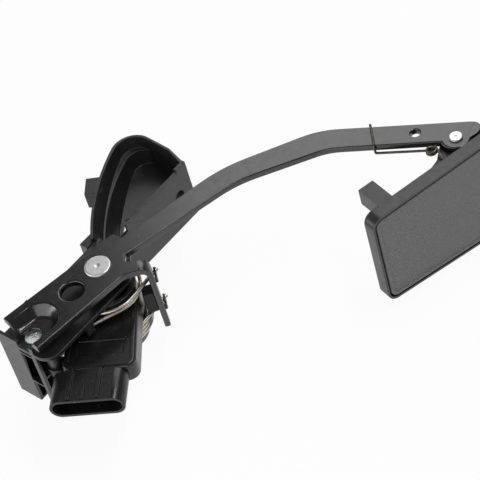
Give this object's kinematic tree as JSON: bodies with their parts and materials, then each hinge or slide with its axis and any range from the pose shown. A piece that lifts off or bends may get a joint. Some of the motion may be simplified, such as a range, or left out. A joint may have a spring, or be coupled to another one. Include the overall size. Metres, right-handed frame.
{
  "type": "accelerator pedal",
  "caption": "Hanging accelerator pedal: a cranked steel lever on a moulded base with a position sensor, return springs and a hinged rectangular pad.",
  "frame": {"origin": "middle of the two mounting holes, on the bulkhead side of the mounting wall", "axes": "+Z along the lever's pivot, +Y towards the bulkhead, +X down the bulkhead to the pad"},
  "size_m": [0.2633, 0.1954, 0.0693],
  "materials": {
    "black_paint": "satin",
    "base_plastic": "moulded, slightly glossy",
    "sensor_plastic": "satin moulded",
    "pad_plastic": "satin moulded",
    "pad_rubber": "fine grained",
    "zinc": "zinc plated",
    "spring_steel": "bright wire",
    "bronze": "sintered",
    "buffer_rubber": "matte",
    "board": "coated laminate",
    "terminal": "tinned"
  },
  "bodies": {
    "base": {"mounting_base": "base_plastic", "upper_bush": "bronze", "lower_bush": "bronze", "sensor_housing": "sensor_plastic", "sensor_lid": "sensor_plastic", "sensor_board": "board", "connector_terminals": "terminal", "sensor_seal": "buffer_rubber", "sensor_screws": "zinc", "deck_screw": "zinc", "idle_stop": "buffer_rubber", "upper_spring": "spring_steel", "lower_spring": "spring_steel"},
    "lever": {"lever_arm": "black_paint", "pivot_shaft": "zinc", "thrust_washer": "bronze", "sensor_rotor": "sensor_plastic", "retaining_ring": "zinc", "spring_shoes": "spring_steel", "tab_buffer": "buffer_rubber", "pad_pin": "zinc", "pad_spring": "spring_steel"},
    "pad": {"pad_tray": "pad_plastic", "pad_cover": "pad_rubber", "pad_bush": "bronze"}
  },
  "joints": [
    {"name": "lever_pivot", "type": "hinge", "parent": "base", "child": "lever", "pos_m": [-0.0613, -0.0145, 0], "axis": [0, 0, 1], "range_deg": [0, 15], "stiffness_Nm_per_rad": 2, "springref_deg": -11.46, "deforming": ["upper_spring", "lower_spring"]},
    {"name": "pad_hinge", "type": "hinge", "parent": "lever", "child": "pad", "pos_m": [0.10314, -0.12705, 0], "axis": [0, 0, 1], "range_deg": [-12, 0], "stiffness_Nm_per_rad": 0.4, "springref_deg": 11.46, "deforming": ["pad_spring"]}
  ]
}
